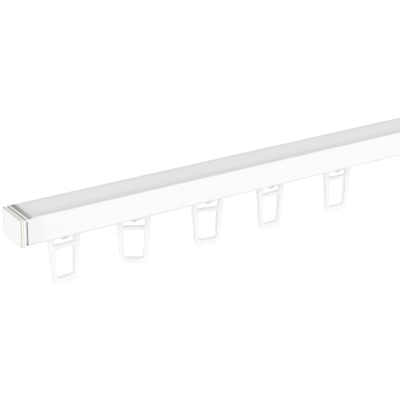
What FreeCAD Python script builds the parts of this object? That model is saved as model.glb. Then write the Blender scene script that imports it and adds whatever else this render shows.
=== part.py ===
import FreeCAD, Part
import math
import os

# Curtain track with swivelling eyelets, in millimetres.
# The origin is the middle of the ceiling face. +X runs along the track, +Z is up, -Y faces the room.

# Track: a white-coated aluminium extrusion, an upside-down channel with a slot below
TRACK_LENGTH = 600.0
TRACK_DEPTH = 20.0
TRACK_HEIGHT = 14.0
SIDE_WALL = 1.1
TOP_WEB = 1.3
LIP_THICKNESS = 1.2
SLOT_WIDTH = 6.0
RIB_WIDTH = 1.0
RIB_HEIGHT = 0.4
DRILL_LINE_WIDTH = 1.2
DRILL_LINE_DEPTH = 0.35
FOOT_RADIUS = 0.4
TOP_RADIUS = 0.3
INNER_RADIUS = 0.4
LIP_RADIUS = 0.25

# End cap: a moulded face plate, a groove, a flange, a lip over the gap to the track, and a hollow plug
CAP_PLATE = 1.0
CAP_GROOVE = 0.3
CAP_FLANGE = 1.25
CAP_GAP = 0.9
CAP_PROUD = 0.2
CAP_FOOT_PROUD = 0.8
CAP_FLANGE_DROP = 0.3
CAP_LIP_PROUD = 0.5
CAP_GROOVE_DEPTH = 0.3
CAP_GAP_DEPTH = 1.0
CAP_FOOT_RADIUS = 1.5
CAP_TOP_RADIUS = 0.6
CAP_EDGE = 0.4
PLUG_LENGTH = 7.0
PLUG_WALL = 1.5
PLUG_BEVEL = 0.5
PLUG_LEAD = 0.4
PLUG_CLEARANCE = 0.1

# Runner: a slider that rides on the ribs of the two lips
RUNNER_LENGTH = 20.0
RUNNER_PLATE = 2.4
RUNNER_BEVEL = 3.0
RUNNER_SIDE_CLEARANCE = 0.6
RUNNER_RIDE_CLEARANCE = 0.15
SADDLE_LENGTH = 11.0
SADDLE_WIDTH = 8.0
SADDLE_HEIGHT = 2.4
SADDLE_SLOPE = 1.0
NECK_LENGTH = 9.0
NECK_SIDE_CLEARANCE = 0.4
NECK_BEVEL = 1.4
COLLAR_WIDTH = 7.4
COLLAR_BEVEL = 2.1
COLLAR_DROP = 0.6
COLLAR_THICKNESS = 0.8

# Swivel: a pin on the runner with a snap head below the eyelet's boss
PIN_RADIUS = 1.6
PIN_CLEARANCE = 0.06
SNAP_OVERLAP = 0.5
SNAP_HEAD_HEIGHT = 1.2
SEAT_CLEARANCE = 0.12
COLLAR_CLEARANCE = 0.3

# Eyelet: a flat ring that narrows towards its foot, with a crossbar and two windows
EYE_HEIGHT = 26.9
EYE_THICKNESS = 2.5
EYE_SHOULDER_WIDTH = 17.8
EYE_SHOULDER_HEIGHT = 4.0
EYE_FOOT_WIDTH = 13.5
EYE_SHOULDER_RADIUS = 1.2
EYE_FOOT_RADIUS = 2.2
BOSS_HEIGHT = 2.3
BOSS_LENGTH = 7.0
BOSS_WIDTH = 5.4
BOSS_BEVEL = 1.3
CROSSBAR_DROP = 3.9
CROSSBAR_HEIGHT = 2.1
FOOT_BAR = 3.1
POST_AT_CROSSBAR = 3.2
POST_AT_FOOT = 2.2
UPPER_WINDOW_WIDTH = 11.4
WINDOW_FOOT_RADIUS = 1.3
GATE_NOTCH_WIDTH = 1.2
GATE_NOTCH_DEPTH = 0.45

# Gliders of one half: distance from the track's end, and turn of the eyelet about its pin in degrees
HALF_SET = [(24.0, 2.0), (64.0, -30.0), (109.0, -13.0), (150.0, 1.0), (196.0, -2.0)]

# Bevel that makes a square into a regular octagon, as a share of half its width
EIGHT_SIDED = 2 - math.sqrt(2)

UP = FreeCAD.Vector(0, 0, 1)
ALONG = FreeCAD.Vector(1, 0, 0)
ORIGIN = FreeCAD.Vector(0, 0, 0)

# Levels that follow from the sizes above
UNDERSIDE = -TRACK_HEIGHT
LIP_TOP = UNDERSIDE + LIP_THICKNESS
RIB_TOP = LIP_TOP + RIB_HEIGHT
CHANNEL_TOP = -TOP_WEB
CHANNEL_HALF = TRACK_DEPTH / 2 - SIDE_WALL
TRACK_END = -TRACK_LENGTH / 2
PLATE_FOOT = RIB_TOP + RUNNER_RIDE_CLEARANCE
PLATE_TOP = PLATE_FOOT + RUNNER_PLATE
COLLAR_TOP = UNDERSIDE - COLLAR_DROP
COLLAR_FOOT = COLLAR_TOP - COLLAR_THICKNESS
EYE_TOP = COLLAR_FOOT - COLLAR_CLEARANCE
BOSS_FOOT = EYE_TOP - BOSS_HEIGHT
SNAP_TOP = BOSS_FOOT - SEAT_CLEARANCE
SNAP_FOOT = SNAP_TOP - SNAP_HEAD_HEIGHT
CROSSBAR_TOP = BOSS_FOOT - CROSSBAR_DROP
CROSSBAR_FOOT = CROSSBAR_TOP - CROSSBAR_HEIGHT
EYE_FOOT = EYE_TOP - EYE_HEIGHT
WINDOW_FOOT = EYE_FOOT + FOOT_BAR


def in_section(y, z):
    """A point of a section across the track, at X = 0."""
    return FreeCAD.Vector(0, y, z)


def in_front(x, z):
    """A point of an outline seen from the room, at Y = 0."""
    return FreeCAD.Vector(x, 0, z)


def in_plan(x, y):
    """A point of an outline seen from above, at Z = 0."""
    return FreeCAD.Vector(x, y, 0)


def rounded_wire(corners, place):
    """Closed wire through corners of (a, b, radius), each one rounded by a tangent arc."""
    points = [place(a, b) for a, b, _ in corners]
    radii = [radius for _, _, radius in corners]
    edges = []
    starts = []
    ends = []
    for i, point in enumerate(points):
        before = (points[i - 1] - point).normalize()
        after = (points[(i + 1) % len(points)] - point).normalize()
        half_angle = before.getAngle(after) / 2
        setback = radii[i] / math.tan(half_angle)
        starts.append(point + before * setback)
        ends.append(point + after * setback)
        if radii[i] > 0:
            towards_centre = (before + after).normalize()
            crown = point + towards_centre * (radii[i] / math.sin(half_angle) - radii[i])
            edges.append(Part.Arc(starts[i], crown, ends[i]).toShape())
        if i > 0:
            edges.append(Part.LineSegment(ends[i - 1], starts[i]).toShape())
    edges.append(Part.LineSegment(ends[-1], starts[0]).toShape())
    return Part.Wire(Part.__sortEdges__(edges))


def prism(corners, place, start, travel):
    """Solid with a rounded outline, moved to start and drawn out along travel."""
    face = Part.Face(rounded_wire(corners, place))
    face.translate(start)
    return face.extrude(travel)


def mirrored(half):
    """Outline from its right half, listed from the middle outwards and round to the middle."""
    return half + [(-a, b, radius) for a, b, radius in reversed(half)]


def bevelled(half_width, half_length, bevel):
    """Right half of a rectangle with bevelled corners, centred on the middle."""
    return [
        (half_width - bevel, half_length, 0),
        (half_width, half_length - bevel, 0),
        (half_width, bevel - half_length, 0),
        (half_width - bevel, -half_length, 0),
    ]


def track_profile():
    """The extrusion: web, two walls, two lips with running ribs, and a drill line inside the web."""
    slot = SLOT_WIDTH / 2
    half = [
        (DRILL_LINE_WIDTH / 2, CHANNEL_TOP, 0),
        (CHANNEL_HALF, CHANNEL_TOP, INNER_RADIUS),
        (CHANNEL_HALF, LIP_TOP, INNER_RADIUS),
        (slot + RIB_WIDTH, LIP_TOP, 0),
        (slot + RIB_WIDTH, RIB_TOP, 0),
        (slot, RIB_TOP, 0),
        (slot, UNDERSIDE, LIP_RADIUS),
        (TRACK_DEPTH / 2, UNDERSIDE, FOOT_RADIUS),
        (TRACK_DEPTH / 2, 0, TOP_RADIUS),
    ]
    drill_line = [(0, CHANNEL_TOP + DRILL_LINE_DEPTH, 0)]
    outline = drill_line + mirrored(half)
    return prism(outline, in_section, ALONG * TRACK_END, ALONG * TRACK_LENGTH)


def section_plate(side, top, foot, top_radius, foot_radius, start, thickness):
    """Plate across the track, with its half width and the levels of its top and foot."""
    half = [(side, top, top_radius), (side, foot, foot_radius)]
    return prism(mirrored(half), in_section, ALONG * start, ALONG * thickness)


def cap_plate(top, inset, start, thickness):
    """Plate with the track's outline, proud of its sides and foot less an inset, up to a level of its own."""
    side = TRACK_DEPTH / 2 + CAP_PROUD - inset
    foot = UNDERSIDE - CAP_FOOT_PROUD + inset
    return section_plate(side, top, foot, CAP_TOP_RADIUS, CAP_FOOT_RADIUS - inset, start, thickness)


def cap_shoulder(start, thickness):
    """Square-cornered plate that lies below the track's outer faces all round."""
    side = TRACK_DEPTH / 2 - CAP_GAP_DEPTH
    return section_plate(side, -CAP_GAP_DEPTH, UNDERSIDE + CAP_GAP_DEPTH, 0, 0, start, thickness)


def cap_plug(start):
    """Hollow plug that fills the channel above the lips, with a lead-in all round its mouth."""
    half_width = CHANNEL_HALF - PLUG_CLEARANCE
    half_height = (CHANNEL_TOP - RIB_TOP) / 2 - PLUG_CLEARANCE
    middle = UP * ((CHANNEL_TOP + RIB_TOP) / 2)
    outer = mirrored(bevelled(half_width, half_height, PLUG_BEVEL))
    plug = prism(outer, in_section, ALONG * start + middle, ALONG * PLUG_LENGTH)
    mouth = start + PLUG_LENGTH
    rim = [edge for edge in plug.Edges if edge.BoundBox.XMin > mouth - PLUG_LEAD]
    plug = plug.makeChamfer(PLUG_LEAD, rim)
    inner = mirrored(bevelled(half_width - PLUG_WALL, half_height - PLUG_WALL, PLUG_BEVEL))
    hollow = prism(inner, in_section, ALONG * start + middle, ALONG * PLUG_LENGTH)
    return plug.cut(hollow)


def end_cap():
    """Cap at the left end: face plate, groove, low-topped flange, and the gap that the lip covers on top."""
    gap_start = TRACK_END - CAP_GAP
    flange_start = gap_start - CAP_FLANGE
    groove_start = flange_start - CAP_GROOVE
    plate_start = groove_start - CAP_PLATE
    flange_top = -CAP_FLANGE_DROP
    plate = cap_plate(CAP_PROUD, 0, plate_start, CAP_PLATE)
    face_edges = [edge for edge in plate.Edges if edge.BoundBox.XMax < plate_start + CAP_EDGE]
    plate = plate.makeChamfer(CAP_EDGE, face_edges)
    groove = cap_plate(flange_top - CAP_GROOVE_DEPTH, CAP_GROOVE_DEPTH, groove_start, CAP_GROOVE)
    flange = cap_plate(flange_top, 0, flange_start, CAP_FLANGE)
    shoulder = cap_shoulder(gap_start, CAP_GAP)
    lip = section_plate(TRACK_DEPTH / 2, CAP_LIP_PROUD, -TOP_WEB, CAP_TOP_RADIUS, 0, gap_start, CAP_GAP)
    cap = plate.fuse([groove, flange, shoulder, lip, cap_plug(TRACK_END)])
    return cap.removeSplitter()


def at_other_end(shape):
    """The same piece at the right end of the track."""
    turned = shape.copy()
    turned.rotate(ORIGIN, UP, 180)
    return turned


def runner_plate():
    """Sliding plate that bridges the slot and rides on the ribs, with a sloping saddle on top."""
    outline = mirrored(bevelled(RUNNER_LENGTH / 2, CHANNEL_HALF - RUNNER_SIDE_CLEARANCE, RUNNER_BEVEL))
    plate = prism(outline, in_plan, UP * PLATE_FOOT, UP * RUNNER_PLATE)
    saddle_half = [
        (SADDLE_LENGTH / 2 - SADDLE_SLOPE, PLATE_TOP + SADDLE_HEIGHT, 0),
        (SADDLE_LENGTH / 2, PLATE_TOP, 0),
    ]
    side = FreeCAD.Vector(0, SADDLE_WIDTH, 0)
    saddle = prism(mirrored(saddle_half), in_front, side * -0.5, side)
    return plate.fuse(saddle)


def runner_neck():
    """Neck that passes down through the slot, and the collar below it that the eyelet turns under."""
    slot_half = SLOT_WIDTH / 2 - NECK_SIDE_CLEARANCE
    neck_outline = mirrored(bevelled(NECK_LENGTH / 2, slot_half, NECK_BEVEL))
    neck = prism(neck_outline, in_plan, UP * COLLAR_TOP, UP * (PLATE_FOOT - COLLAR_TOP))
    collar_outline = mirrored(bevelled(COLLAR_WIDTH / 2, COLLAR_WIDTH / 2, COLLAR_BEVEL))
    collar = prism(collar_outline, in_plan, UP * COLLAR_FOOT, UP * COLLAR_THICKNESS)
    return neck.fuse(collar)


def swivel_pin():
    """Round pin with an eight-sided snap head, tapered below so that it springs through the boss."""
    pin = Part.makeCylinder(PIN_RADIUS, COLLAR_FOOT - SNAP_TOP, UP * SNAP_TOP, UP)
    half_width = PIN_RADIUS + SNAP_OVERLAP
    head_outline = mirrored(bevelled(half_width, half_width, half_width * EIGHT_SIDED))
    head = prism(head_outline, in_plan, UP * SNAP_FOOT, UP * SNAP_HEAD_HEIGHT)
    rim = [edge for edge in head.Edges if edge.BoundBox.ZMax < SNAP_TOP - SNAP_HEAD_HEIGHT / 2]
    return pin.fuse(head.makeChamfer(SNAP_OVERLAP, rim))


def runner():
    """Runner at X = 0: plate, saddle, neck, collar and swivel pin in one moulding."""
    return runner_plate().fuse([runner_neck(), swivel_pin()]).removeSplitter()


def eye_half_width(z):
    """Half the eyelet's width at a level, on its straight taper from shoulder to foot."""
    shoulder = EYE_TOP - EYE_SHOULDER_HEIGHT
    share = (shoulder - z) / (shoulder - EYE_FOOT)
    return (EYE_SHOULDER_WIDTH + (EYE_FOOT_WIDTH - EYE_SHOULDER_WIDTH) * share) / 2


def eye_outline():
    """Outer edge of the eyelet: shoulders, tapering sides, rounded foot and gate notch."""
    notch = GATE_NOTCH_WIDTH / 2
    shoulder = EYE_SHOULDER_WIDTH / 2
    half = [
        (shoulder - EYE_SHOULDER_RADIUS / 2, EYE_TOP, EYE_SHOULDER_RADIUS),
        (shoulder, EYE_TOP - EYE_SHOULDER_HEIGHT, EYE_SHOULDER_RADIUS),
        (eye_half_width(EYE_FOOT), EYE_FOOT, EYE_FOOT_RADIUS),
        (notch, EYE_FOOT, 0),
        (notch, EYE_FOOT + GATE_NOTCH_DEPTH, 0),
    ]
    return mirrored(half)


def window_outlines():
    """The small window under the boss and the large one that takes the curtain hook."""
    upper = UPPER_WINDOW_WIDTH / 2
    upper_window = [(upper, BOSS_FOOT, 0), (upper, CROSSBAR_TOP, 0)]
    lower_window = [
        (eye_half_width(CROSSBAR_FOOT) - POST_AT_CROSSBAR, CROSSBAR_FOOT, 0),
        (eye_half_width(WINDOW_FOOT) - POST_AT_FOOT, WINDOW_FOOT, WINDOW_FOOT_RADIUS),
    ]
    return [mirrored(upper_window), mirrored(lower_window)]


def eyelet():
    """Eyelet at X = 0, square to the track, with its boss bored for the swivel pin."""
    through = FreeCAD.Vector(0, EYE_THICKNESS, 0)
    ring = prism(eye_outline(), in_front, through * -0.5, through)
    for outline in window_outlines():
        ring = ring.cut(prism(outline, in_front, through * -0.5, through))
    boss_outline = mirrored(bevelled(BOSS_LENGTH / 2, BOSS_WIDTH / 2, BOSS_BEVEL))
    boss = prism(boss_outline, in_plan, UP * BOSS_FOOT, UP * BOSS_HEIGHT)
    bore = Part.makeCylinder(PIN_RADIUS + PIN_CLEARANCE, BOSS_HEIGHT, UP * BOSS_FOOT, UP)
    return ring.fuse(boss).cut(bore).removeSplitter()


def gliders():
    """Runner and eyelet of every glider, numbered from the left end of the track."""
    runner_shape = runner()
    eyelet_shape = eyelet()
    left_half = [(TRACK_END + distance, turn) for distance, turn in HALF_SET]
    right_half = [(-place, turn) for place, turn in reversed(left_half)]
    pieces = {}
    for number, (place, turn) in enumerate(left_half + right_half, start=1):
        carried = runner_shape.copy()
        carried.translate(ALONG * place)
        hung = eyelet_shape.copy()
        hung.rotate(ORIGIN, UP, turn)
        hung.translate(ALONG * place)
        pieces[f"glider_{number:02d}_runner"] = carried
        pieces[f"glider_{number:02d}_eyelet"] = hung
    return pieces


def build():
    """Every sub-part by its node name."""
    cap = end_cap()
    parts = {
        "track_profile": track_profile(),
        "end_cap_left": cap,
        "end_cap_right": at_other_end(cap),
    }
    parts.update(gliders())
    return parts


os.makedirs("parts", exist_ok=True)
for node, shape in build().items():
    solid = shape.Solids[0] if len(shape.Solids) == 1 else shape
    solid.exportStep(f"parts/{node}.step")
    print(node, "valid", solid.isValid(), "solids", len(shape.Solids), "volume", round(solid.Volume, 1))
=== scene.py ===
"""Looks of a white curtain track: soft moulded edges, finishes, studio light and camera.

The classes hold their sizes in millimetres, as a maker's drawing does. Blender works in metres.
"""

import logging
import math
from collections.abc import Callable, Iterator
from contextlib import contextmanager
from dataclasses import dataclass, field
from enum import Enum

import bmesh
import bpy
from mathutils import Matrix, Vector
from mathutils.bvhtree import BVHTree


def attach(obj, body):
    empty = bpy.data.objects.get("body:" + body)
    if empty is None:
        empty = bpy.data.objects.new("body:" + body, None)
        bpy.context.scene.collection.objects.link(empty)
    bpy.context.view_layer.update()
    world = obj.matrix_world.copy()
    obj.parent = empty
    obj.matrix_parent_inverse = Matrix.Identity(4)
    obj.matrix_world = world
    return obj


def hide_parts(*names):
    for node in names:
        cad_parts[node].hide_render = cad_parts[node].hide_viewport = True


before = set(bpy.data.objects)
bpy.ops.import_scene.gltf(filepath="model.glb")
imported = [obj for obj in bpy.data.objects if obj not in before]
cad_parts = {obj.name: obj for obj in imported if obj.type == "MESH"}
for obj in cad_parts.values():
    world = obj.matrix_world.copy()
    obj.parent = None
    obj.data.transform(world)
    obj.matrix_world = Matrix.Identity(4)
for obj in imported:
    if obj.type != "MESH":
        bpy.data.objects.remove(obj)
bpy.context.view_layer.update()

MM = 0.001
log = logging.getLogger("curtain_track")

# The extrusion's own sizes: half its length, half its depth and its height, in millimetres.
TRACK_END = 300.0
TRACK_HALF_DEPTH = 10.0
TRACK_HEIGHT = 14.0

# How near counts as at a place, and how near as beside it, in millimetres.
AT = 0.01
BESIDE = 0.1
# Over how far a tint with a sharp edge comes in, in millimetres.
CRISP = 0.001
# How close the cosine between two directions is to 1 where they count as parallel.
PARALLEL = 0.999
# Edges bent by more than the first angle are rounded. Faces that meet at less than the second look smooth.
SHARP_EDGE = math.radians(32)
SMOOTH_EDGE = math.radians(40)
# Name of the mesh attribute that grows from 0 on the flats to 1 at the crest of a rounded edge. Finishes
# use it to paint shade on rounded edges.
RIM = "rim"

ALONG_TRACK = Vector((1, 0, 0))
ACROSS_TRACK = Vector((0, 1, 0))
UPRIGHT = Vector((0, 0, 1))

Element = bmesh.types.BMVert | bmesh.types.BMEdge | bmesh.types.BMFace
Tree = bpy.types.NodeTree
Socket = bpy.types.NodeSocket


# Helpers for modelling in edit mode

class Kind(Enum):
    """What an edit-mode selection picks."""

    VERT = "verts"
    EDGE = "edges"
    FACE = "faces"


class Side(Enum):
    """The track's two ends."""

    LEFT = "left"
    RIGHT = "right"


def select_only(piece: bpy.types.Object) -> None:
    """Make one piece the active object and the only selected one.

    Args:
        piece: The object that the next operators act on.
    """
    bpy.ops.object.select_all(action="DESELECT")
    piece.select_set(True)
    bpy.context.view_layer.objects.active = piece


@contextmanager
def editing(piece: bpy.types.Object) -> Iterator[None]:
    """Edit a piece with nothing selected at first, and leave edit mode at the end.

    Args:
        piece: The mesh object to edit.
    """
    select_only(piece)
    bpy.ops.object.mode_set(mode="EDIT")
    bpy.ops.mesh.select_all(action="DESELECT")
    yield
    bpy.ops.object.mode_set(mode="OBJECT")


def middle(element: Element) -> Vector:
    """Find the middle of a vertex, an edge or a face.

    Args:
        element: The vertex, edge or face.

    Returns:
        Its middle, in millimetres.
    """
    if isinstance(element, bmesh.types.BMVert):
        return element.co / MM
    return sum((vert.co for vert in element.verts), Vector()) / len(element.verts) / MM


def pick(piece: bpy.types.Object, kind: Kind, test: Callable[..., bool]) -> None:
    """Select, in edit mode, the elements that pass a test, and nothing else.

    Args:
        piece: The piece that is open in edit mode.
        kind: Vertices, edges or faces.
        test: Takes an element and says whether it is wanted.
    """
    bpy.ops.mesh.select_all(action="DESELECT")
    bpy.ops.mesh.select_mode(type=kind.name)
    mesh = bmesh.from_edit_mesh(piece.data)
    for element in getattr(mesh, kind.value):
        if test(element):
            element.select_set(True)
    mesh.select_flush_mode()
    bmesh.update_edit_mesh(piece.data)


def runs_along(edge: bmesh.types.BMEdge, axis: Vector) -> bool:
    """Say whether an edge runs along an axis.

    Args:
        edge: The edge.
        axis: The axis, as a unit vector.

    Returns:
        True where the two are parallel.
    """
    direction = (edge.verts[1].co - edge.verts[0].co).normalized()
    return abs(direction.dot(axis)) > PARALLEL


def block(name: str, low: tuple[float, float, float],
          high: tuple[float, float, float]) -> bpy.types.Object:
    """Add a box between two corners, as a start for a piece or a cutter.

    Args:
        name: Name of the new object.
        low: Its lowest corner in millimetres.
        high: Its highest corner in millimetres.

    Returns:
        The new object, at the origin, with its place in its mesh.
    """
    centre = (Vector(low) + Vector(high)) / 2 * MM
    size = (Vector(high) - Vector(low)) * MM
    bpy.ops.object.select_all(action="DESELECT")
    bpy.ops.mesh.primitive_cube_add(size=1, location=centre)
    piece = bpy.context.object
    piece.name = name
    piece.scale = size
    bpy.ops.object.transform_apply(location=True, rotation=True, scale=True)
    return piece


def round_edges(piece: bpy.types.Object, wanted: Callable[[bmesh.types.BMEdge], bool], radius: float,
                facets: int) -> None:
    """Bevel chosen edges of a piece.

    Args:
        piece: The piece to shape.
        wanted: Takes an edge and says whether it is bevelled.
        radius: How far the bevel reaches, in millimetres.
        facets: Number of facets across the bevel.
    """
    with editing(piece):
        pick(piece, Kind.EDGE, wanted)
        bpy.ops.mesh.bevel(offset=radius * MM, segments=facets, affect="EDGES", clamp_overlap=False,
                           loop_slide=False)


def combine(piece: bpy.types.Object, other: bpy.types.Object, operation: str) -> None:
    """Join another solid to a piece or cut it out, and delete the other solid.

    Args:
        piece: The piece that stays.
        other: The solid that is joined or cut out.
        operation: UNION or DIFFERENCE.
    """
    select_only(piece)
    modifier = piece.modifiers.new(operation.title(), "BOOLEAN")
    modifier.operation = operation
    modifier.solver = "EXACT"
    modifier.object = other
    bpy.ops.object.modifier_apply(modifier=modifier.name)
    bpy.data.objects.remove(other, do_unlink=True)


def soften(piece: bpy.types.Object, radius: float, facets: int,
           shown: Callable[[bmesh.types.BMEdge], bool]) -> None:
    """Round a moulding's outer edges, shade its faces smooth and mark the rounded edges.

    Args:
        piece: The finished form, with sharp edges.
        radius: Edge radius in millimetres.
        facets: Number of facets across each edge.
        shown: Takes an edge and says whether it can be seen. An edge that can't stays sharp.
    """
    select_only(piece)
    bpy.context.view_layer.update()
    sharp = BVHTree.FromObject(piece, bpy.context.evaluated_depsgraph_get())
    round_edges(piece, lambda e: e.is_convex and e.calc_face_angle(0.0) > SHARP_EDGE and shown(e),
                radius, facets)
    bpy.ops.object.shade_smooth_by_angle(angle=SMOOTH_EDGE)
    # How far below the flats the crest of a rounded right angle lies.
    crest = radius * MM * (1 - math.sqrt(0.5))
    rim = piece.data.attributes.new(RIM, "FLOAT", "POINT")
    for vertex in piece.data.vertices:
        rim.data[vertex.index].value = min(sharp.find_nearest(vertex.co)[3] / crest, 1.0)


def add_copy(pattern: bpy.types.Object, name: str, move: Matrix) -> bpy.types.Object:
    """Copy a piece, with a mesh of its own that is moved.

    Args:
        pattern: The piece to copy.
        name: The copy's name.
        move: How the copy's mesh is moved, in metres.

    Returns:
        The copy, at the origin, with its place in its mesh.
    """
    piece = pattern.copy()
    piece.data = pattern.data.copy()
    piece.data.transform(move)
    piece.name = name
    bpy.context.collection.objects.link(piece)
    return piece


# Finishes

def linear(colour: str) -> tuple[float, float, float, float]:
    """Turn an sRGB hex colour to the linear colour that shaders take.

    Args:
        colour: Six hex digits after a hash sign.

    Returns:
        Red, green, blue and a full alpha.
    """
    channels = [int(colour[start:start + 2], 16) / 255 for start in (1, 3, 5)]
    return (*[c / 12.92 if c <= 0.04045 else ((c + 0.055) / 1.055) ** 2.4 for c in channels], 1.0)


def add_node(tree: Tree, kind: str, settings: dict | None = None,
             links: dict | None = None) -> bpy.types.Node:
    """Add a shader node with its settings and its incoming links.

    Args:
        tree: The material's node tree.
        kind: The node's type name.
        settings: Attributes of the node by name, or values of its sockets by name or number.
        links: Output sockets by the name or number of the input that each one feeds.

    Returns:
        The new node.
    """
    node = tree.nodes.new(kind)
    for name, value in (settings or {}).items():
        if isinstance(name, str) and hasattr(node, name):
            setattr(node, name, value)
        else:
            node.inputs[name].default_value = value
    for name, socket in (links or {}).items():
        tree.links.new(socket, node.inputs[name])
    return node


def per_metre(feature: float) -> float:
    """Noise scale that gives features of a size in millimetres, on coordinates in metres."""
    return 1 / (feature * MM)


class Way(Enum):
    """Which way a distance is measured from the middle of the ceiling face."""

    ALONG = "to either end"
    ACROSS = "to the front or the back"
    FORWARDS = "to the front"
    BACKWARDS = "to the back"
    UP = "upwards"
    DOWN = "downwards"


def distances(tree: Tree, place: Socket) -> dict[Way, Socket]:
    """Add the nodes that measure each point's distance from the middle of the ceiling face.

    Args:
        tree: The material's node tree.
        place: Object coordinates.

    Returns:
        The distance in metres, for each way.
    """
    either = add_node(tree, "ShaderNodeVectorMath", {"operation": "ABSOLUTE"}, {0: place}).outputs[0]
    opposite = add_node(tree, "ShaderNodeVectorMath", {"operation": "MULTIPLY", 1: (-1, -1, -1)},
                        {0: place}).outputs[0]
    plain, either, opposite = (add_node(tree, "ShaderNodeSeparateXYZ", links={0: vector}).outputs
                               for vector in (place, either, opposite))
    return {Way.ALONG: either["X"], Way.ACROSS: either["Y"], Way.FORWARDS: opposite["Y"],
            Way.BACKWARDS: plain["Y"], Way.UP: plain["Z"], Way.DOWN: opposite["Z"]}


@dataclass(frozen=True)
class Limit:
    """One side of a tinted place, in millimetres.

    The tint grows over the fade from its least share to its full one, which it has from the edge on. With a
    fade below 0 it is the other way round: it is full up to the edge, and least past the fade beyond it.
    """

    way: Way
    edge: float
    fade: float = CRISP
    least: float = 0.0
    full: float = 1.0


@dataclass(frozen=True)
class Tint:
    """A shade that a surface takes at one place.

    The place lies within all of its limits. A tint with borders keeps to the nearest one of them. A tint
    with a rim share keeps to rounded edges, and reaches that share at their crest.
    """

    where: str
    shade: str
    limits: tuple[Limit, ...] = ()
    borders: tuple[Limit, ...] = ()
    rim_share: float = 0.0
    bare_metal: bool = False

    def cover(self, tree: Tree, distance: dict[Way, Socket]) -> Socket:
        """Add the nodes that say how far the tint covers each point.

        Args:
            tree: The material's node tree.
            distance: Each point's distance from the middle of the ceiling face, for each way.

        Returns:
            The tint's share of the colour, 0 outside the limits.
        """
        share = None
        if self.rim_share:
            crest = add_node(tree, "ShaderNodeAttribute", {"attribute_name": RIM}).outputs["Fac"]
            share = add_node(tree, "ShaderNodeMath",
                             {"label": self.where, "operation": "MULTIPLY", 1: self.rim_share},
                             {0: crest}).outputs[0]
        for operation, limits in (("MAXIMUM", self.borders), ("MULTIPLY", self.limits)):
            for limit in limits:
                inside = add_node(tree, "ShaderNodeMapRange",
                                  {"label": self.where, "interpolation_type": "SMOOTHSTEP",
                                   "From Min": (limit.edge - limit.fade) * MM, "From Max": limit.edge * MM,
                                   "To Min": limit.least, "To Max": limit.full},
                                  {"Value": distance[limit.way]}).outputs["Result"]
                share = inside if share is None else add_node(
                    tree, "ShaderNodeMath", {"operation": operation}, {0: share, 1: inside}).outputs[0]
        return share


@dataclass(frozen=True)
class Finish:
    """A surface finish: two close shades, a roughness that wanders a little, and a fine relief.

    The blotches are wide and faint, as on any large white surface. The relief is the fine grain that
    breaks up the edge of a highlight. The tints lie over the shades, each over those before it. Widths,
    pitches, heights and depths are in millimetres.
    """

    name: str
    shade: str
    second_shade: str
    blotch_width: float
    roughness: float
    roughness_spread: float
    relief_pitch: float
    relief_height: float
    ior: float
    gloss: float = 0.5
    scatter: float = 0.0
    scatter_depth: float = 1.0
    tints: tuple[Tint, ...] = ()
    blotch_detail: float = 3.0
    relief_detail: float = 2.0

    def material(self) -> bpy.types.Material:
        """Make the finish's material.

        Returns:
            The new material, on Object coordinates.
        """
        made = bpy.data.materials.new(self.name)
        made.use_nodes = True
        tree = made.node_tree
        tree.nodes.clear()
        place = add_node(tree, "ShaderNodeTexCoord").outputs["Object"]
        blotches = add_node(tree, "ShaderNodeTexNoise",
                            {"Scale": per_metre(self.blotch_width), "Detail": self.blotch_detail},
                            {"Vector": place}).outputs["Fac"]
        colour = add_node(tree, "ShaderNodeMix",
                          {"data_type": "RGBA", 6: linear(self.shade), 7: linear(self.second_shade)},
                          {0: blotches}).outputs[2]
        roughness = add_node(tree, "ShaderNodeMapRange",
                             {"To Min": self.roughness - self.roughness_spread,
                              "To Max": self.roughness + self.roughness_spread},
                             {"Value": blotches}).outputs["Result"]
        grain = add_node(tree, "ShaderNodeTexNoise",
                         {"Scale": per_metre(self.relief_pitch), "Detail": self.relief_detail},
                         {"Vector": place}).outputs["Fac"]
        relief = add_node(tree, "ShaderNodeBump", {"Distance": self.relief_height * MM}, {"Height": grain})
        shader = add_node(tree, "ShaderNodeBsdfPrincipled",
                          {"IOR": self.ior, "Specular IOR Level": self.gloss,
                           "Subsurface Weight": self.scatter, "Subsurface Radius": (1.0, 1.0, 1.0),
                           "Subsurface Scale": self.scatter_depth * MM},
                          {"Roughness": roughness, "Normal": relief.outputs["Normal"]})
        distance = distances(tree, place) if self.tints else {}
        for tint in self.tints:
            share = tint.cover(tree, distance)
            colour = add_node(tree, "ShaderNodeMix", {"data_type": "RGBA", 7: linear(tint.shade)},
                              {0: share, 6: colour}).outputs[2]
            if tint.bare_metal:
                tree.links.new(share, shader.inputs["Metallic"])
        tree.links.new(colour, shader.inputs["Base Color"])
        add_node(tree, "ShaderNodeOutputMaterial", links={"Surface": shader.outputs["BSDF"]})
        return made


ON_CEILING_FACE = Limit(Way.UP, -BESIDE)
# Band beside each cap where the cap lip's shadow is painted on the ceiling face.
CAP_SHADOW_BAND = Limit(Way.ALONG, TRACK_END - 1.3, 3.0)


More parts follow.
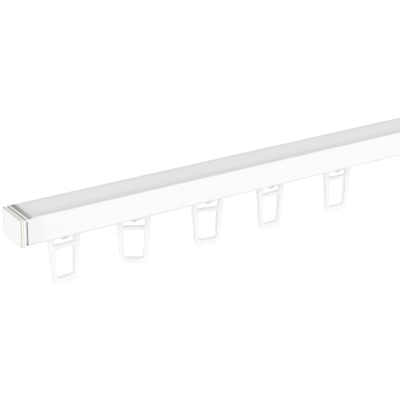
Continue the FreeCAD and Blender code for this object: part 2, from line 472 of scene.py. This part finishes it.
@dataclass(frozen=True)
class PowderCoat(Finish):
    """White powder coating on the extrusion: satin, with orange peel.

    The ripples of orange peel are about 1.5 mm apart and a few thousandths deep. Most tints paint light and
    shade: shade beside the caps, towards the long edges of the ceiling face and at the foot of the sides, a
    highlight on the front arris and the caps' shadow on the ceiling face. The sawn ends are bare aluminium.
    """

    name: str = "satin white powder coat on aluminium"
    shade: str = "#F1F1F1"
    second_shade: str = "#EEEEEE"
    blotch_width: float = 45.0
    roughness: float = 0.42
    roughness_spread: float = 0.04
    relief_pitch: float = 1.5
    relief_height: float = 0.004
    ior: float = 1.5
    gloss: float = 0.2
    tints: tuple[Tint, ...] = (
        # Painted shade: the coat darker within a centimetre of each cap.
        Tint("held beside the caps", "#E9E9E9", (Limit(Way.ALONG, TRACK_END - 3.0, 9.0),)),
        # Painted shade: the ceiling face darker towards its front edge.
        Tint("front of the ceiling face", "#E0E0E0",
             (Limit(Way.FORWARDS, TRACK_HALF_DEPTH, 9.0), ON_CEILING_FACE)),
        # Painted highlight along the front arris.
        Tint("front arris", "#F3F3F3", (Limit(Way.FORWARDS, TRACK_HALF_DEPTH, 1.6), ON_CEILING_FACE)),
        # Painted shade: the ceiling face darker towards its back edge, most on the back arris.
        Tint("back of the ceiling face", "#E7E7E7",
             (Limit(Way.BACKWARDS, TRACK_HALF_DEPTH, 5.0), ON_CEILING_FACE)),
        Tint("back arris", "#D9D9D9", (Limit(Way.BACKWARDS, TRACK_HALF_DEPTH, 0.9), ON_CEILING_FACE)),
        # Painted shade along the foot of the sides, darkening the edges that the floor lights.
        Tint("foot of the sides", "#DCDCDC", (Limit(Way.DOWN, TRACK_HEIGHT, 1.4),)),
        # Painted shadow of the cap's lip on the ceiling face, darker towards the back.
        Tint("rubbed beside the caps", "#B2B1B0", (CAP_SHADOW_BAND, ON_CEILING_FACE)),
        Tint("rubbed most at the back", "#949392",
             (CAP_SHADOW_BAND, ON_CEILING_FACE, Limit(Way.BACKWARDS, TRACK_HALF_DEPTH, 2 * TRACK_HALF_DEPTH))),
        Tint("sawn ends", "#8E9092", (Limit(Way.ALONG, TRACK_END - AT),), bare_metal=True),
    )


ON_FACE_PLATE = Limit(Way.ALONG, TRACK_END + 3.225, 0.225)


@dataclass(frozen=True)
class CapPlastic(Finish):
    """Semi-gloss moulded plastic of the caps.

    A spark-eroded mould leaves a grain of about 0.3 mm, drawn at 0.5 mm so that it shows. Painted shade,
    beige-grey, lies on the rounded edges and the face plate's border, and in the slit beside the lip.
    """

    name: str = "semi-gloss white moulded plastic"
    shade: str = "#F2F1EE"
    second_shade: str = "#F0EFEC"
    blotch_width: float = 12.0
    roughness: float = 0.38
    roughness_spread: float = 0.05
    relief_pitch: float = 0.5
    relief_height: float = 0.006
    ior: float = 1.49
    gloss: float = 0.2
    tints: tuple[Tint, ...] = (
        # Painted shade, beige-grey, on the rounded edges.
        Tint("rounded edges", "#C6C5B9", rim_share=0.85),
        Tint("face plate", "#F0F0F0", (ON_FACE_PLATE,)),
        # Painted shade along the face plate's border, weaker at its foot.
        Tint("border of the face plate", "#C9C9C0", (ON_FACE_PLATE,),
             borders=(Limit(Way.ACROSS, TRACK_HALF_DEPTH + 0.1, 1.2),
                      Limit(Way.DOWN, TRACK_HEIGHT + 0.7, 1.2, full=0.4), Limit(Way.UP, 0.1, 1.2))),
        # Painted shade in the slit beside the lip.
        Tint("dusty slit", "#A8A396",
             (Limit(Way.ALONG, TRACK_END + 0.74), Limit(Way.ALONG, TRACK_END + 0.86, -CRISP),
              Limit(Way.UP, 0.05, -CRISP))),
    )


@dataclass(frozen=True)
class Acetal(Finish):
    """Natural white acetal, as gliders are moulded from.

    Polished mould faces leave it smooth. A little light passes into it, which evens its tones. Its rounded
    edges get painted shade, lighter near the track as a painted reflection of the track's white.
    """

    name: str = "natural white acetal"
    shade: str = "#EFEFEF"
    second_shade: str = "#ECECEC"
    blotch_width: float = 5.0
    roughness: float = 0.30
    roughness_spread: float = 0.05
    relief_pitch: float = 2.5
    relief_height: float = 0.008
    ior: float = 1.48
    gloss: float = 0.2
    scatter: float = 0.8
    scatter_depth: float = 14.0
    tints: tuple[Tint, ...] = (
        # Painted shade on the rounded edges, lighter near the track as a painted reflection of its white.
        Tint("rounded edges", "#A2A2A2", (Limit(Way.DOWN, TRACK_HEIGHT + 12.0, 3.0, least=0.3),),
             rim_share=0.9),
    )


@dataclass(frozen=True)
class FloorPaint(Finish):
    """Matt white paint on the studio's floor, rolled on in wide faint patches."""

    name: str = "matt white floor paint"
    shade: str = "#F6F6F6"
    second_shade: str = "#F4F4F4"
    blotch_width: float = 600.0
    roughness: float = 0.9
    roughness_spread: float = 0.02
    relief_pitch: float = 3.0
    relief_height: float = 0.02
    ior: float = 1.45


def dress(piece: bpy.types.Object, material: bpy.types.Material) -> None:
    """Give a piece one material all over, without touching its mesh.

    Args:
        piece: A new piece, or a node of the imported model.
        material: The finish.
    """
    if not piece.material_slots:
        piece.data.materials.append(material)
    for slot in piece.material_slots:
        slot.material = material
    log.info("dressed %s in %s", piece.name, material.name)


# The curtain track

@dataclass
class Track:
    """The coated extrusion, shown as it is packed."""

    node: str = "track_profile"
    finish: Finish = PowderCoat()

    def build(self) -> None:
        """Dress the extrusion."""
        dress(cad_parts[self.node], self.finish.material())


@dataclass(frozen=True)
class Section:
    """Cross-section of one step of a cap, in millimetres."""

    top: float
    foot: float
    half_depth: float

    @property
    def middle(self) -> float:
        """Level of the section's middle."""
        return (self.top + self.foot) / 2

    def inset(self, sides: float, top: float) -> "Section":
        """Give a smaller section inside this one.

        Args:
            sides: How far it is taken in at the front, at the back and at the foot.
            top: How far at the top.

        Returns:
            The smaller section.
        """
        return Section(self.top - top, self.foot + sides, self.half_depth - sides)


@dataclass
class EndCap:
    """Moulded cap: face plate, groove, flange, gap with a lip over it, and hollow plug.

    It is modelled at the left end and turned for the right one. Sizes are in millimetres.
    """

    plate: float = 1.0
    groove: float = 0.3
    flange: float = 1.25
    gap: float = 0.9
    proud: float = 0.2
    foot_proud: float = 0.8
    flange_drop: float = 0.3
    lip_slit: float = 0.1
    lip_proud: float = 0.5
    lip_foot: float = 1.3
    groove_depth: float = 0.3
    gap_depth: float = 0.8
    foot_radius: float = 1.5
    foot_facets: int = 8
    top_radius: float = 0.6
    face_radius: float = 0.35
    small_facets: int = 4
    plug_length: float = 7.0
    plug_half_depth: float = 8.8
    plug_top: float = 1.4
    plug_foot: float = 12.3
    plug_wall: float = 1.5
    edge_radius: float = 0.12
    edge_facets: int = 3
    finish: Finish = CapPlastic()

    def section_step(self, before: Section, after: Section, travel: float) -> None:
        """Change the selected end face to a new section, and draw it out along the track.

        Args:
            before: The end face's section.
            after: The section of the new step.
            travel: How far the new step runs along X, in millimetres.
        """
        rise = (after.middle - before.middle) * MM
        bpy.ops.mesh.extrude_region_move(TRANSFORM_OT_translate={"value": (0, 0, rise)})
        ratio = (1, after.half_depth / before.half_depth,
                 (after.top - after.foot) / (before.top - before.foot))
        bpy.ops.transform.resize(value=ratio, center_override=(0, 0, after.middle * MM))
        bpy.ops.mesh.extrude_region_move(TRANSFORM_OT_translate={"value": (travel * MM, 0, 0)})

    def build_body(self) -> bpy.types.Object:
        """Model plate, groove, flange, shoulder and plug as steps drawn out of one face plate.

        Returns:
            The cap without its lip, at the left end.
        """
        face = -TRACK_END - self.gap - self.flange - self.groove - self.plate
        plate = Section(self.proud, -TRACK_HEIGHT - self.foot_proud, TRACK_HALF_DEPTH + self.proud)
        flange = plate.inset(0.0, self.proud + self.flange_drop)
        groove = flange.inset(self.groove_depth, self.groove_depth)
        shoulder = Section(-self.gap_depth, self.gap_depth - TRACK_HEIGHT, TRACK_HALF_DEPTH - self.gap_depth)
        plug = Section(-self.plug_top, -self.plug_foot, self.plug_half_depth)
        cap = block("cap", (face, -plate.half_depth, plate.foot),
                    (face + self.plate, plate.half_depth, plate.top))
        round_edges(cap, lambda e: runs_along(e, ALONG_TRACK) and middle(e).z < plate.middle,
                    self.foot_radius, self.foot_facets)
        round_edges(cap, lambda e: runs_along(e, ALONG_TRACK) and middle(e).z > plate.top - BESIDE,
                    self.top_radius, self.small_facets)
        round_edges(cap, lambda e: all(v.co.x / MM < face + AT for v in e.verts),
                    self.face_radius, self.small_facets)
        with editing(cap):
            pick(cap, Kind.FACE, lambda f: f.normal.dot(ALONG_TRACK) > PARALLEL)
            self.section_step(plate, groove, self.groove)
            self.section_step(groove, flange, self.flange)
            self.section_step(flange, shoulder, self.gap)
            self.section_step(shoulder, plug, self.plug_length)
            self.section_step(plug, plug.inset(self.plug_wall, self.plug_wall), -self.plug_length)
        return cap

    def build_lip(self) -> bpy.types.Object:
        """Model the lip that bridges the gap on top and stands above the track.

        Returns:
            The lip, at the left end.
        """
        lip = block("lip", (-TRACK_END - self.gap + self.lip_slit, -TRACK_HALF_DEPTH, -self.lip_foot),
                    (-TRACK_END, TRACK_HALF_DEPTH, self.lip_proud))
        round_edges(lip, lambda e: runs_along(e, ALONG_TRACK) and middle(e).z > 0,
                    self.top_radius, self.small_facets)
        return lip

    def build(self) -> None:
        """Model the cap once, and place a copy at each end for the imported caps."""
        cap = self.build_body()
        combine(cap, self.build_lip(), "UNION")
        soften(cap, self.edge_radius, self.edge_facets, lambda e: middle(e).x < -TRACK_END - AT)
        material = self.finish.material()
        for side, turn in ((Side.LEFT, 0.0), (Side.RIGHT, math.pi)):
            node = f"end_cap_{side.value}"
            piece = add_copy(cap, f"soft_{node}", Matrix.Rotation(turn, 4, "Z"))
            dress(piece, material)
            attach(piece, "track")
            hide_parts(node)
        bpy.data.objects.remove(cap, do_unlink=True)


@dataclass
class Eyelet:
    """Moulded eyelet with a boss, an upper window, a crossbar and the window for the curtain hook.

    Sizes are in millimetres. The top is a level below the ceiling face. The notch's cutter overruns the
    foot, which leaves no mark.
    """

    top: float = -15.7
    height: float = 26.9
    thickness: float = 2.5
    top_half_width: float = 8.3
    shoulder_half_width: float = 8.9
    shoulder_drop: float = 4.0
    shoulder_radius: float = 1.2
    shoulder_facets: int = 5
    foot_half_width: float = 6.75
    foot_radius: float = 2.2
    foot_facets: int = 7
    boss_height: float = 2.3
    boss_half_length: float = 3.5
    boss_half_width: float = 2.7
    boss_corner: float = 1.3
    boss_facets: int = 4
    bore_radius: float = 1.66
    bore_facets: int = 40
    upper_half_width: float = 5.7
    upper_window_radius: float = 0.3
    crossbar_drop: float = 3.9
    crossbar_height: float = 2.1
    foot_bar: float = 3.1
    post_at_crossbar: float = 3.2
    post_at_foot: float = 2.2
    window_radius: float = 1.3
    window_facets: int = 5
    notch_half_width: float = 0.6
    notch_depth: float = 0.45
    notch_overrun: float = 1.0
    edge_radius: float = 0.38
    edge_facets: int = 4

    @property
    def foot(self) -> float:
        """Level of the foot."""
        return self.top - self.height

    @property
    def shoulder(self) -> float:
        """Level of the shoulders, where the eyelet is widest."""
        return self.top - self.shoulder_drop

    @property
    def boss_foot(self) -> float:
        """Level of the boss's underside, which is also the upper window's top."""
        return self.top - self.boss_height

    def half_width(self, level: float) -> float:
        """Half the outer width at a level on the taper from shoulder to foot."""
        share = (self.shoulder - level) / (self.shoulder - self.foot)
        return self.shoulder_half_width + (self.foot_half_width - self.shoulder_half_width) * share

    def widen(self, piece: bpy.types.Object, level: float, half_width: float) -> None:
        """Move the vertices at one level out or in to a half width.

        Args:
            piece: The piece to shape.
            level: Height of the vertices, in millimetres.
            half_width: Where they go on both sides, in millimetres from the middle.
        """
        with editing(piece):
            for sign in (-1, 1):
                pick(piece, Kind.VERT, lambda v: abs(middle(v).z - level) < AT and v.co.x * sign > 0)
                mesh = bmesh.from_edit_mesh(piece.data)
                now = max(abs(v.co.x) for v in mesh.verts if v.select) / MM
                bpy.ops.transform.translate(value=(sign * (half_width - now) * MM, 0, 0))

    def build_blank(self) -> bpy.types.Object:
        """Model the outer form: shoulders, tapering sides and a rounded foot.

        Returns:
            The blank, at X = 0 and square to the track.
        """
        blank = block("eyelet", (-self.shoulder_half_width, -self.thickness / 2, self.foot),
                      (self.shoulder_half_width, self.thickness / 2, self.top))
        with editing(blank):
            bpy.ops.mesh.select_all(action="SELECT")
            bpy.ops.mesh.bisect(plane_co=(0, 0, self.shoulder * MM), plane_no=(0, 0, 1))
        self.widen(blank, self.top, self.top_half_width)
        self.widen(blank, self.foot, self.foot_half_width)
        round_edges(blank, lambda e: runs_along(e, ACROSS_TRACK) and middle(e).z > self.shoulder - BESIDE,
                    self.shoulder_radius, self.shoulder_facets)
        round_edges(blank, lambda e: runs_along(e, ACROSS_TRACK) and middle(e).z < self.foot + BESIDE,
                    self.foot_radius, self.foot_facets)
        return blank

    def build_window(self, top: float, foot: float, half_top: float, half_foot: float,
                     radius: float) -> bpy.types.Object:
        """Model a cutter for one window.

        Args:
            top: Level of the window's upper edge.
            foot: Level of its lower edge.
            half_top: Half its width at the top.
            half_foot: Half its width at the foot.
            radius: Radius of its corners at the foot.

        Returns:
            The cutter, longer than the eyelet is thick.
        """
        cutter = block("window", (-half_top, -self.thickness, foot), (half_top, self.thickness, top))
        self.widen(cutter, foot, half_foot)
        round_edges(cutter, lambda e: runs_along(e, ACROSS_TRACK) and middle(e).z < foot + BESIDE,
                    radius, self.window_facets)
        return cutter

    def build_boss(self) -> bpy.types.Object:
        """Model the boss around the swivel pin, with rounded corners and no bore yet."""
        boss = block("boss", (-self.boss_half_length, -self.boss_half_width, self.boss_foot),
                     (self.boss_half_length, self.boss_half_width, self.top))
        round_edges(boss, lambda e: runs_along(e, UPRIGHT), self.boss_corner, self.boss_facets)
        return boss

    def build_bore(self) -> bpy.types.Object:
        """Model the cutter for the bore, which reaches past the boss at both ends."""
        bpy.ops.object.select_all(action="DESELECT")
        bpy.ops.mesh.primitive_cylinder_add(vertices=self.bore_facets, radius=self.bore_radius * MM,
                                            depth=3 * self.boss_height * MM, location=(0, 0, self.top * MM))
        return bpy.context.object

    def build(self) -> bpy.types.Object:
        """Model one eyelet at X = 0, square to the track, with soft edges.

        Returns:
            The eyelet, not dressed.
        """
        crossbar_top = self.boss_foot - self.crossbar_drop
        crossbar_foot = crossbar_top - self.crossbar_height
        window_foot = self.foot + self.foot_bar
        eyelet = self.build_blank()
        cutters = [
            self.build_window(self.boss_foot, crossbar_top, self.upper_half_width, self.upper_half_width,
                              self.upper_window_radius),
            self.build_window(crossbar_foot, window_foot,
                              self.half_width(crossbar_foot) - self.post_at_crossbar,
                              self.half_width(window_foot) - self.post_at_foot, self.window_radius),
            block("notch", (-self.notch_half_width, -self.thickness, self.foot - self.notch_overrun),
                  (self.notch_half_width, self.thickness, self.foot + self.notch_depth)),
        ]
        for cutter in cutters:
            combine(eyelet, cutter, "DIFFERENCE")
        combine(eyelet, self.build_boss(), "UNION")
        combine(eyelet, self.build_bore(), "DIFFERENCE")
        soften(eyelet, self.edge_radius, self.edge_facets,
               lambda e: (middle(e).z < self.boss_foot - BESIDE
                          or middle(e).xy.length > self.bore_radius + BESIDE))
        return eyelet


@dataclass
class Gliders:
    """The gliders along the track.

    The half set gives each one's distance from the track's end in millimetres, and the turn of its eyelet
    in degrees.
    """

    half_set: tuple[tuple[float, float], ...] = ((24, 2), (64, -30), (109, -13), (150, 1), (196, -2))
    eyelet: Eyelet = field(default_factory=Eyelet)
    finish: Finish = Acetal()

    def places(self) -> list[tuple[float, float]]:
        """Work out the place and the turn of every glider.

        Returns:
            X and turn, from the left end. The right half is the left one turned round.
        """
        left = [(distance - TRACK_END, turn) for distance, turn in self.half_set]
        return left + [(-place, turn) for place, turn in reversed(left)]

    def build(self) -> None:
        """Model one eyelet, hang a copy on each runner and dress them all."""
        material = self.finish.material()
        pattern = self.eyelet.build()
        for number, (place, turn) in enumerate(self.places(), start=1):
            turned = Matrix.Rotation(math.radians(turn), 4, "Z")
            piece = add_copy(pattern, f"soft_glider_{number:02d}_eyelet",
                             Matrix.Translation((place * MM, 0, 0)) @ turned)
            dress(piece, material)
            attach(piece, f"eyelet_{number:02d}")
            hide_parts(f"glider_{number:02d}_eyelet")
            dress(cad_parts[f"glider_{number:02d}_runner"], material)
        bpy.data.objects.remove(pattern, do_unlink=True)


# Studio

@dataclass
class Softbox:
    """A soft rectangular light that faces a target and that the camera doesn't see, in metres.

    Its place round the target is an azimuth from -Y towards +X, an elevation and a distance.
    """

    name: str
    target: tuple[float, float, float]
    azimuth: float
    elevation: float
    distance: float
    width: float
    height: float
    watts: float

    def build(self) -> None:
        """Add the light, facing its target."""
        azimuth, elevation = math.radians(self.azimuth), math.radians(self.elevation)
        outwards = Vector((math.sin(azimuth) * math.cos(elevation), -math.cos(azimuth) * math.cos(elevation),
                           math.sin(elevation)))
        bpy.ops.object.select_all(action="DESELECT")
        bpy.ops.object.light_add(type="AREA", location=Vector(self.target) + outwards * self.distance)
        light = bpy.context.object
        light.name = self.name
        light.rotation_euler = outwards.to_track_quat("Z", "Y").to_euler()
        light.visible_camera = False
        light.data.shape = "RECTANGLE"
        light.data.size = self.width
        light.data.size_y = self.height
        light.data.energy = self.watts


@dataclass
class Studio:
    """A plain pale floor far below the hanging track, soft light all round, and softboxes, in metres."""

    floor_level: float = -1.2
    floor_size: float = 16.0
    floor_finish: Finish = FloorPaint()
    sky_strength: float = 0.84
    softboxes: tuple[Softbox, ...] = (
        Softbox("front_softbox", (-0.15, 0.0, -0.02), azimuth=10.0, elevation=8.0, distance=2.4,
                width=2.2, height=1.0, watts=17.3),
        Softbox("cap_softbox", (-0.30, 0.0, -0.007), azimuth=-97.0, elevation=2.0, distance=0.6,
                width=0.4, height=0.25, watts=0.95),
        Softbox("floor_wash", (1.9, 3.1, floor_level), azimuth=0.0, elevation=90.0, distance=0.7,
                width=5.0, height=5.0, watts=26.0),
    )

    def build_floor(self) -> None:
        """Lay the floor."""
        bpy.ops.object.select_all(action="DESELECT")
        bpy.ops.mesh.primitive_plane_add(size=self.floor_size, location=(0, 0, self.floor_level))
        floor = bpy.context.object
        floor.name = "floor"
        dress(floor, self.floor_finish.material())

    def build_light(self) -> None:
        """Light the object from all round, and the floor by a wash of its own."""
        world = bpy.data.worlds.new("studio_sky")
        world.use_nodes = True
        background = world.node_tree.nodes["Background"]
        background.inputs["Color"].default_value = (1, 1, 1, 1)
        background.inputs["Strength"].default_value = self.sky_strength
        bpy.context.scene.world = world
        for softbox in self.softboxes:
            softbox.build()

    def build(self) -> None:
        """Set up the studio."""
        self.build_floor()
        self.build_light()
        bpy.context.scene.view_settings.view_transform = "Standard"
        log.info("studio is set up")


@dataclass
class Viewpoint:
    """The camera, in front of the left end and looking along the track, as in the photograph.

    The place, the lens, the sensor and the clip are in millimetres, and the angles in degrees.
    """

    place: tuple[float, float, float] = (-547.85, -527.51, 250.9)
    heading: float = 33.729
    down: float = 22.864
    roll: float = 0.925
    lens: float = 118.503
    sensor_width: float = 36.0
    nearest: float = 10.0

    def build(self) -> None:
        """Add the camera and make it the scene's own."""
        heading, down, roll = (math.radians(angle) for angle in (self.heading, self.down, self.roll))
        ahead = Vector((math.sin(heading) * math.cos(down), math.cos(heading) * math.cos(down),
                        -math.sin(down)))
        level = Vector((math.cos(heading), -math.sin(heading), 0))
        above = level.cross(ahead)
        right = level * math.cos(roll) + above * math.sin(roll)
        up = above * math.cos(roll) - level * math.sin(roll)
        bpy.ops.object.select_all(action="DESELECT")
        bpy.ops.object.camera_add(location=Vector(self.place) * MM)
        camera = bpy.context.object
        camera.rotation_euler = Matrix((right, up, -ahead)).transposed().to_euler()
        camera.data.lens = self.lens
        camera.data.sensor_width = self.sensor_width
        camera.data.clip_start = self.nearest * MM
        bpy.context.scene.camera = camera
        log.info("camera is in place")


def main() -> None:
    """Build the visual model, the studio and the camera."""
    logging.basicConfig(level=logging.INFO, format="%(message)s")
    Viewpoint().build()
    Studio().build()
    Track().build()
    EndCap().build()
    Gliders().build()


if __name__ == "__main__":
    main()
